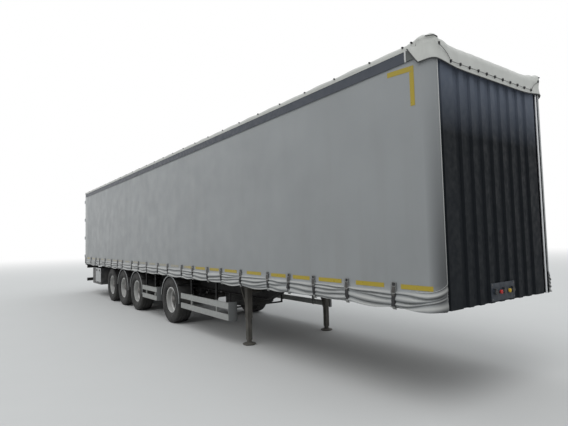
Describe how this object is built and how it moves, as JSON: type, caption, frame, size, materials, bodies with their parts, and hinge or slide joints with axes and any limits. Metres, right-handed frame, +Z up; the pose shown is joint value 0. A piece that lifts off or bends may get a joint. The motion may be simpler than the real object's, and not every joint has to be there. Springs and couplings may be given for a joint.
{
  "type": "curtain-sided semi trailer",
  "caption": "Long semi trailer with grey side curtains, an off-white sliding roof cover, swinging rear doors, landing legs, and one forward axle ahead of a close-set bogie.",
  "frame": {"origin": "on the ground, below the middle of the body's length and width", "axes": "+X forward to the front wall, +Y to the trailer's left, +Z up"},
  "size_m": [16.6, 2.55, 4],
  "materials": {
    "frame_paint": "satin dark grey chassis paint",
    "wall_paint": "satin slate paint",
    "rail_paint": "satin dark slate paint",
    "door_paint": "satin light grey paint",
    "box_paint": "light grey paint",
    "leg_grey": "worn grey paint",
    "axle_paint": "black paint with road dust",
    "bare_steel": "greased steel",
    "galvanised_steel": "galvanised",
    "bare_aluminium": "mill finish",
    "guard_aluminium": "anodised, road film",
    "rim_silver": "silver wheel paint",
    "tyre_rubber": "matte, dusty",
    "bellows_rubber": "matte",
    "black_plastic": "matte",
    "lamp_red": "gloss lens",
    "plywood": "coated brown plywood",
    "curtain_cloth": "coated grey tarpaulin",
    "roof_cloth": "coated off-white tarpaulin"
  },
  "bodies": {
    "chassis": {"main_beams": "frame_paint", "neck_beams": "frame_paint", "cross_members": "frame_paint", "floor_boards": "plywood", "side_rails": "frame_paint", "coupling_plate": "frame_paint", "kingpin": "bare_steel", "landing_legs": "leg_grey", "landing_crank": "bare_steel", "front_wall": "wall_paint", "front_corner_posts": "wall_paint", "rear_frame": "wall_paint", "cant_rails": "rail_paint", "side_pillars": "bare_aluminium", "curtain_poles": "bare_aluminium", "curtain_left": "curtain_cloth", "curtain_right": "curtain_cloth", "roof_bows": "bare_aluminium", "roof_cover": "roof_cloth", "roof_front_cap": "roof_cloth", "coupling_panel": "black_plastic", "door_hinges": "galvanised_steel", "axles": "axle_paint", "trailing_arms": "axle_paint", "suspension_hangers": "frame_paint", "air_springs": "bellows_rubber", "shock_absorbers": "axle_paint", "brake_chambers": "axle_paint", "mudguard_stays": "galvanised_steel", "mudguards": "black_plastic", "side_guard_rails": "guard_aluminium", "side_guard_posts": "galvanised_steel", "underrun_bar": "guard_aluminium", "tail_lamps": "lamp_red", "tool_box": "box_paint", "spare_wheel_carrier": "galvanised_steel", "spare_tyre": "tyre_rubber", "spare_rim": "rim_silver", "air_tanks": "axle_paint"},
    "wheel_1_left": {"tyre_1_left": "tyre_rubber", "rim_1_left": "rim_silver"},
    "wheel_1_right": {"tyre_1_right": "tyre_rubber", "rim_1_right": "rim_silver"},
    "wheel_2_left": {"tyre_2_left": "tyre_rubber", "rim_2_left": "rim_silver"},
    "wheel_2_right": {"tyre_2_right": "tyre_rubber", "rim_2_right": "rim_silver"},
    "wheel_3_left": {"tyre_3_left": "tyre_rubber", "rim_3_left": "rim_silver"},
    "wheel_3_right": {"tyre_3_right": "tyre_rubber", "rim_3_right": "rim_silver"},
    "wheel_4_left": {"tyre_4_left": "tyre_rubber", "rim_4_left": "rim_silver"},
    "wheel_4_right": {"tyre_4_right": "tyre_rubber", "rim_4_right": "rim_silver"},
    "rear_door_left": {"rear_door_left": "door_paint", "lock_bars_left": "galvanised_steel"},
    "rear_door_right": {"rear_door_right": "door_paint", "lock_bars_right": "galvanised_steel"},
    "tool_box_lid": {"tool_box_lid": "box_paint"}
  },
  "joints": [
    {"name": "wheel_1_left_spin", "type": "hinge", "parent": "chassis", "child": "wheel_1_left", "pos_m": [0.885, 1.047, 0.532], "axis": [0, 1, 0], "continuous": true},
    {"name": "wheel_1_right_spin", "type": "hinge", "parent": "chassis", "child": "wheel_1_right", "pos_m": [0.885, -1.047, 0.532], "axis": [0, 1, 0], "continuous": true},
    {"name": "wheel_2_left_spin", "type": "hinge", "parent": "chassis", "child": "wheel_2_left", "pos_m": [-1.702, 1.047, 0.532], "axis": [0, 1, 0], "continuous": true},
    {"name": "wheel_2_right_spin", "type": "hinge", "parent": "chassis", "child": "wheel_2_right", "pos_m": [-1.702, -1.047, 0.532], "axis": [0, 1, 0], "continuous": true},
    {"name": "wheel_3_left_spin", "type": "hinge", "parent": "chassis", "child": "wheel_3_left", "pos_m": [-3.012, 1.047, 0.532], "axis": [0, 1, 0], "continuous": true},
    {"name": "wheel_3_right_spin", "type": "hinge", "parent": "chassis", "child": "wheel_3_right", "pos_m": [-3.012, -1.047, 0.532], "axis": [0, 1, 0], "continuous": true},
    {"name": "wheel_4_left_spin", "type": "hinge", "parent": "chassis", "child": "wheel_4_left", "pos_m": [-4.322, 1.047, 0.532], "axis": [0, 1, 0], "continuous": true},
    {"name": "wheel_4_right_spin", "type": "hinge", "parent": "chassis", "child": "wheel_4_right", "pos_m": [-4.322, -1.047, 0.532], "axis": [0, 1, 0], "continuous": true},
    {"name": "rear_door_left_swing", "type": "hinge", "parent": "chassis", "child": "rear_door_left", "pos_m": [-8.288, 1.262, 2.515], "axis": [0, 0, -1], "range_deg": [0, 270]},
    {"name": "rear_door_right_swing", "type": "hinge", "parent": "chassis", "child": "rear_door_right", "pos_m": [-8.288, -1.262, 2.515], "axis": [0, 0, 1], "range_deg": [0, 270]},
    {"name": "tool_box_lid_drop", "type": "hinge", "parent": "chassis", "child": "tool_box_lid", "pos_m": [-6.1, -1.245, 0.516], "axis": [1, 0, 0], "range_deg": [0, 100]}
  ]
}
